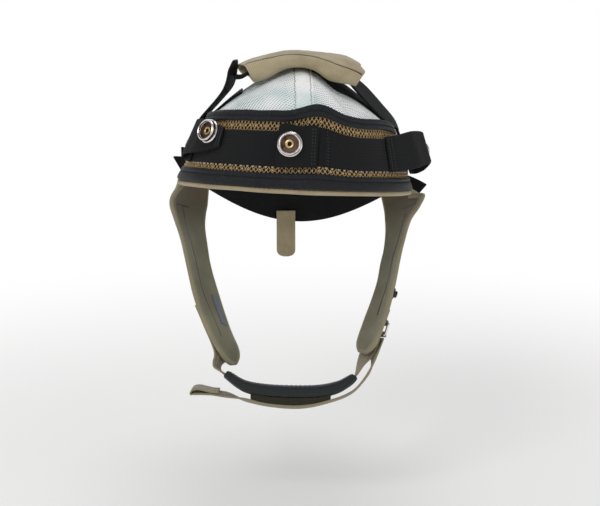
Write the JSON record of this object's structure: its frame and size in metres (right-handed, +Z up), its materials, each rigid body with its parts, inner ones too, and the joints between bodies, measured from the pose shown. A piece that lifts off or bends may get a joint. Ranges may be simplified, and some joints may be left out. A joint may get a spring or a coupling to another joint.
{
  "type": "head harness cap",
  "caption": "Cloth head harness cap with a mesh crown, padded top strap, snap tabs on an elastic brow band, ear flaps and a padded chin strap closed by hook and pile tape.",
  "frame": {"origin": "middle of the wearer's head, on the line through both ears at about the height of the brow band's lower edge at the back", "axes": "+X to the wearer's left, +Y to the back of the head, +Z up"},
  "size_m": [0.1998, 0.2064, 0.2666],
  "materials": {
    "mesh_white": "open knit mesh, white",
    "mesh_brown": "open knit mesh, olive brown over dark cloth",
    "binding": "satin binding tape, near black",
    "elastic": "knitted elastic, black",
    "webbing_black": "woven cotton webbing, black",
    "tan_twill": "cotton twill, tan",
    "tan_lining": "brushed cotton lining, tan",
    "tan_webbing": "woven cotton webbing, tan",
    "pad_black": "ribbed stretch cloth, black",
    "foam": "soft foam, dark grey",
    "hook_olive": "hook and pile tape, olive",
    "patch": "small cloth patch, blue grey",
    "snap_nickel": "plated snap socket, bright",
    "snap_brass": "brass snap barrel and cap",
    "stud_dark": "dark enamelled snap stud",
    "wire_nickel": "plated wire"
  },
  "bodies": {
    "cap": {"crown_mesh": "mesh_white", "crown_center_strip": "mesh_white", "back_panel": "mesh_white", "upper_binding": "binding", "brow_mesh": "mesh_brown", "elastic_band": "elastic", "lower_binding": "binding", "brow_lining": "tan_lining", "left_ear_flap": "tan_twill", "left_flap_lining": "tan_lining", "right_ear_flap": "tan_twill", "right_flap_lining": "tan_lining", "flap_stud": "stud_dark", "flap_patch": "patch", "crown_strap_left": "webbing_black", "crown_strap_right": "webbing_black", "crown_bridge": "webbing_black", "crown_anchor_left": "webbing_black", "crown_anchor_right": "webbing_black", "rear_band": "webbing_black", "rear_strap": "webbing_black", "nape_tongue": "tan_twill", "chin_strap": "tan_webbing", "chin_pad_cover": "pad_black", "chin_pad_foam": "foam", "chin_hook_tape": "hook_olive", "loop_keeper": "tan_webbing"},
    "front_tab_body": {"front_tab": "webbing_black", "front_snap_socket": "snap_nickel", "front_snap_button": "snap_brass", "front_snap_spring": "wire_nickel"},
    "left_tab_body": {"left_tab": "webbing_black", "left_snap_socket": "snap_nickel", "left_snap_button": "snap_brass", "left_snap_spring": "wire_nickel"},
    "right_tab_body": {"right_tab": "webbing_black", "right_snap_socket": "snap_nickel", "right_snap_button": "snap_brass", "right_snap_spring": "wire_nickel"},
    "crown_pad": {"top_pad_cover": "tan_twill", "top_pad_foam": "foam"},
    "chin_tail_body": {"chin_tail": "tan_webbing", "tail_end_hem": "tan_webbing"},
    "loop_body": {"strap_loop": "wire_nickel"}
  },
  "joints": [
    {"name": "front_tab_flex", "type": "hinge", "parent": "cap", "child": "front_tab_body", "pos_m": [0.01568, -0.09433, 0.05223], "axis": [0.0493, 0.2261, 0.9728], "range_deg": [0, 40], "stiffness_Nm_per_rad": 0.02},
    {"name": "left_tab_flex", "type": "hinge", "parent": "cap", "child": "left_tab_body", "pos_m": [-0.0513, -0.07129, 0.04933], "axis": [0.2563, 0.2487, 0.9341], "range_deg": [0, 30], "stiffness_Nm_per_rad": 0.02},
    {"name": "right_tab_flex", "type": "hinge", "parent": "cap", "child": "right_tab_body", "pos_m": [0.06548, -0.05919, 0.04111], "axis": [0.1492, -0.2404, -0.9591], "range_deg": [0, 30], "stiffness_Nm_per_rad": 0.02},
    {"name": "crown_pad_shift", "type": "hinge", "parent": "cap", "child": "crown_pad", "pos_m": [0.001, 0, 0.03335], "axis": [0, 1, 0], "range_deg": [0, 3]},
    {"name": "chin_tail_peel", "type": "hinge", "parent": "cap", "child": "chin_tail_body", "pos_m": [0.06249, -0.02563, -0.10607], "axis": [0.599, -0.7675, 0.2284], "range_deg": [0, 75]},
    {"name": "strap_loop_swing", "type": "hinge", "parent": "cap", "child": "loop_body", "pos_m": [0.06484, -0.02056, -0.0952], "axis": [-0.599, 0.7675, -0.2284], "range_deg": [-3, 3]}
  ]
}
